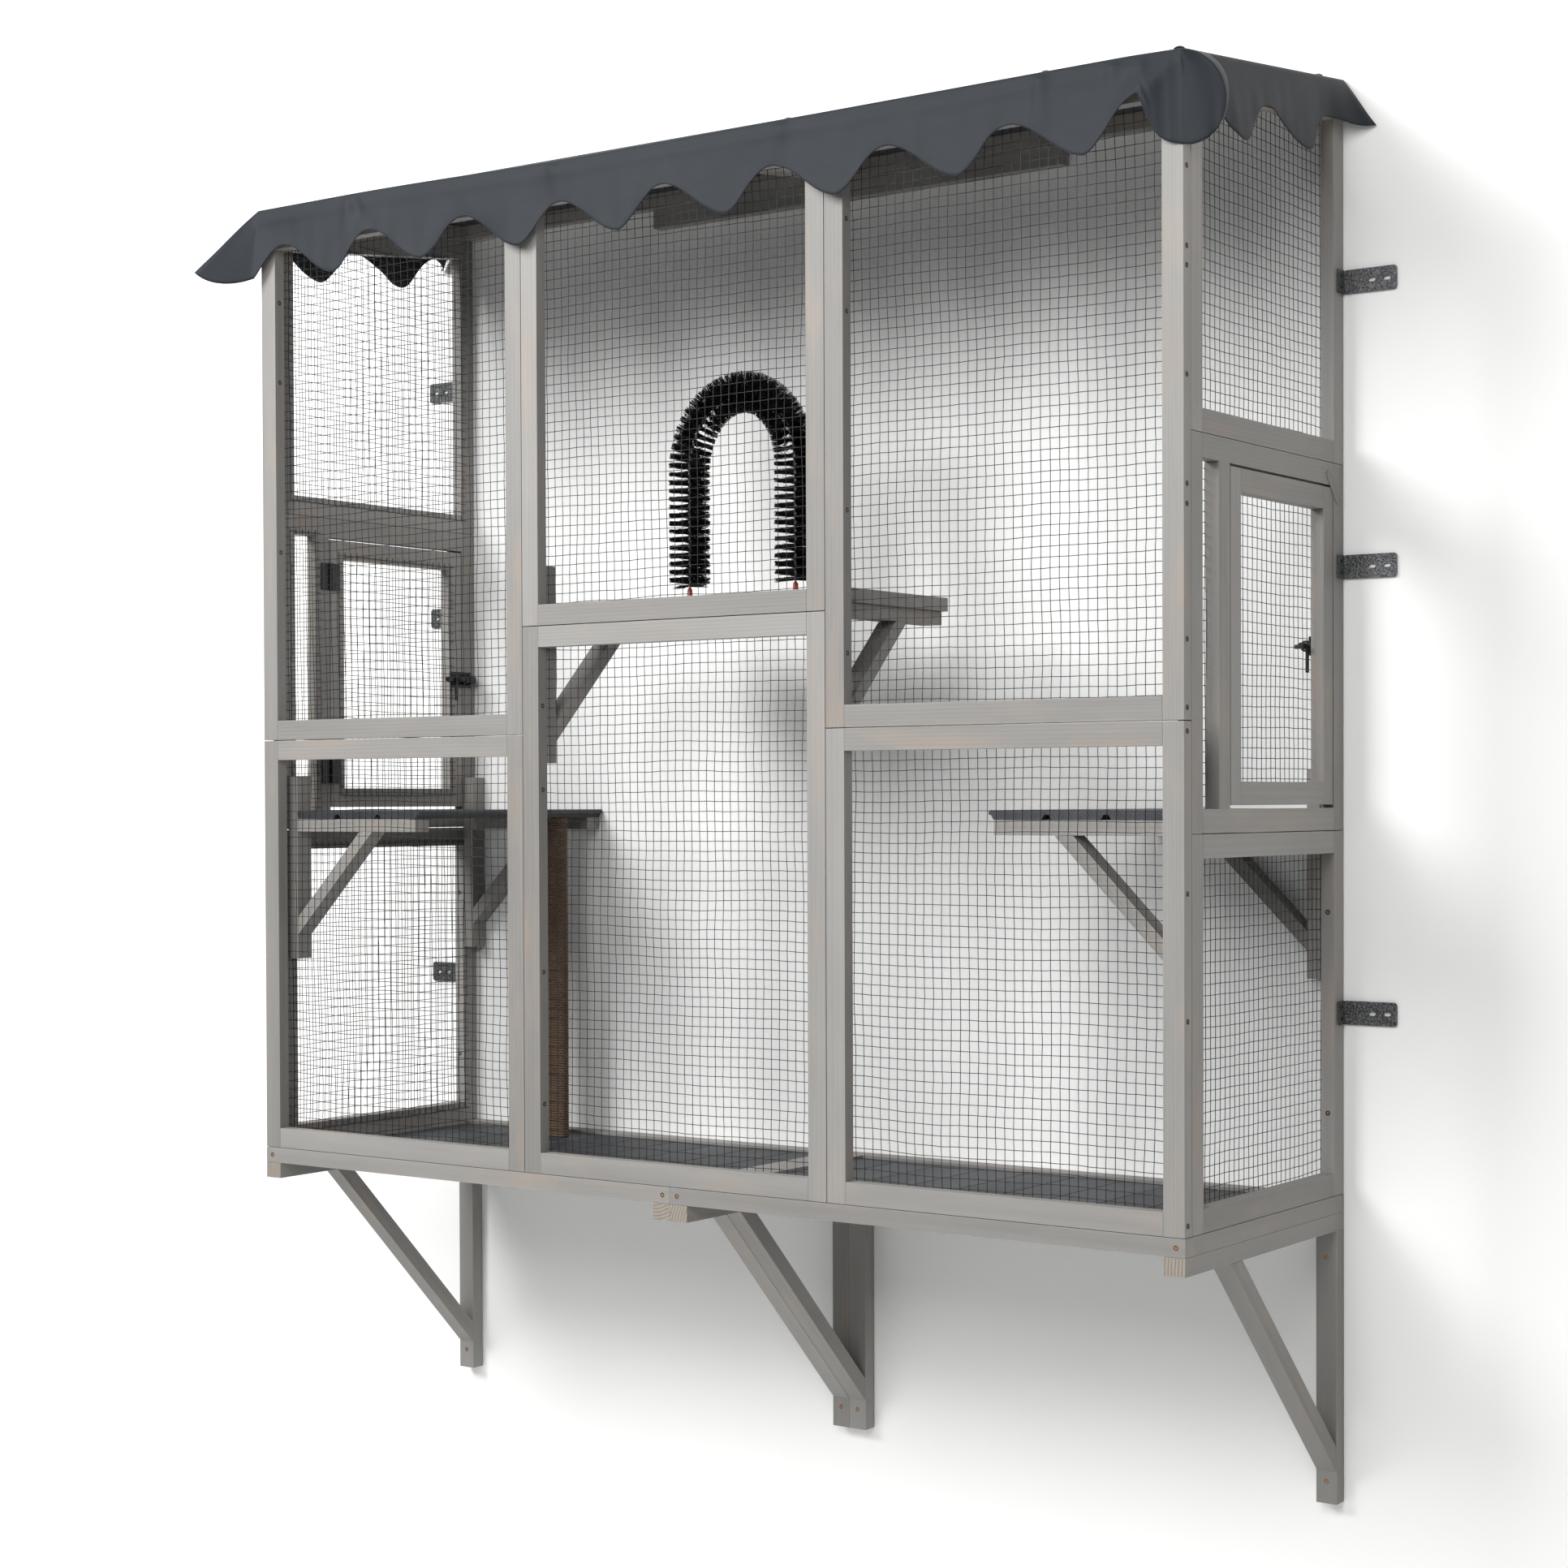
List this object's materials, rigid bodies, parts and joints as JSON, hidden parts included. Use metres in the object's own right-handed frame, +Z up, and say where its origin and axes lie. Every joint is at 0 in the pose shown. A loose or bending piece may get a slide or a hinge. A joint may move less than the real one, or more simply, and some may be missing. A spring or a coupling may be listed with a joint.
{
  "type": "window catio",
  "caption": "Wall-hung wooden cat enclosure with wire mesh panels, side doors, shelves, a brush arch, braces below and a scalloped fabric roof.",
  "frame": {"origin": "on the wall plane, middle of the width, level with the top of the floor frame that the panels stand on", "axes": "+Z up, +X to the right seen from the front, +Y out of the back towards the wall"},
  "size_m": [1.6386, 0.5002, 1.8018],
  "materials": {
    "grey_washed_fir": "matte grey stain on sawn fir",
    "dark_grey_board": "matte dark grey stain on tongued boards",
    "black_steel": "black powder coat",
    "black_bristle": "stiff black bristles",
    "sisal_rope": "rough wound rope",
    "slate_fabric": "matte coated woven fabric"
  },
  "bodies": {
    "catio": {"base_frame_left": "grey_washed_fir", "base_frame_right": "grey_washed_fir", "brush_arch_left_bend": "black_bristle", "brush_arch_left_leg": "black_bristle", "brush_arch_right_bend": "black_bristle", "brush_arch_right_leg": "black_bristle", "door_frame_left": "grey_washed_fir", "door_frame_right": "grey_washed_fir", "floor_left": "dark_grey_board", "floor_right": "dark_grey_board", "front_panel_left_lower": "grey_washed_fir", "front_panel_left_upper": "grey_washed_fir", "front_panel_middle_lower": "grey_washed_fir", "front_panel_middle_upper": "grey_washed_fir", "front_panel_right_lower": "grey_washed_fir", "front_panel_right_upper": "grey_washed_fir", "hinge_post_leaf_left_lower": "black_steel", "hinge_post_leaf_left_upper": "black_steel", "hinge_post_leaf_right_lower": "black_steel", "hinge_post_leaf_right_upper": "black_steel", "latch_keeper_left": "black_steel", "latch_keeper_right": "black_steel", "roof_batten": "grey_washed_fir", "roof_cover": "slate_fabric", "roof_frame_left": "grey_washed_fir", "roof_frame_right": "grey_washed_fir", "scratch_post": "sisal_rope", "shelf_bracket_left_front": "grey_washed_fir", "shelf_bracket_left_rear": "grey_washed_fir", "shelf_bracket_middle_left": "grey_washed_fir", "shelf_bracket_middle_right": "grey_washed_fir", "shelf_bracket_right_front": "grey_washed_fir", "shelf_bracket_right_rear": "grey_washed_fir", "shelf_left": "dark_grey_board", "shelf_middle": "grey_washed_fir", "shelf_right": "dark_grey_board", "side_panel_left_lower": "grey_washed_fir", "side_panel_left_upper": "grey_washed_fir", "side_panel_right_lower": "grey_washed_fir", "side_panel_right_upper": "grey_washed_fir", "wall_angle_left_lower": "black_steel", "wall_angle_left_middle": "black_steel", "wall_angle_left_upper": "black_steel", "wall_angle_right_lower": "black_steel", "wall_angle_right_middle": "black_steel", "wall_angle_right_upper": "black_steel", "wall_brace_left": "grey_washed_fir", "wall_brace_middle_left": "grey_washed_fir", "wall_brace_middle_right": "grey_washed_fir", "wall_brace_right": "grey_washed_fir"},
    "door_left": {"door_left": "grey_washed_fir", "hinge_door_leaf_left_lower": "black_steel", "hinge_door_leaf_left_upper": "black_steel", "latch_plate_left": "black_steel"},
    "bolt_left": {"latch_bolt_left": "black_steel"},
    "door_right": {"door_right": "grey_washed_fir", "hinge_door_leaf_right_lower": "black_steel", "hinge_door_leaf_right_upper": "black_steel", "latch_plate_right": "black_steel"},
    "bolt_right": {"latch_bolt_right": "black_steel"}
  },
  "joints": [
    {"name": "door_left_swing", "type": "hinge", "parent": "catio", "child": "door_left", "pos_m": [-0.7255, -0.317, 0.69375], "axis": [0, 0, -1], "range_deg": [0, 90]},
    {"name": "bolt_left_slide", "type": "slide", "parent": "door_left", "child": "bolt_left", "axis": [0, 1, 0], "range_m": [0, 0.0135]},
    {"name": "door_right_swing", "type": "hinge", "parent": "catio", "child": "door_right", "pos_m": [0.7255, -0.317, 0.69375], "axis": [0, 0, 1], "range_deg": [0, 90]},
    {"name": "bolt_right_slide", "type": "slide", "parent": "door_right", "child": "bolt_right", "axis": [0, 1, 0], "range_m": [0, 0.0135]}
  ]
}
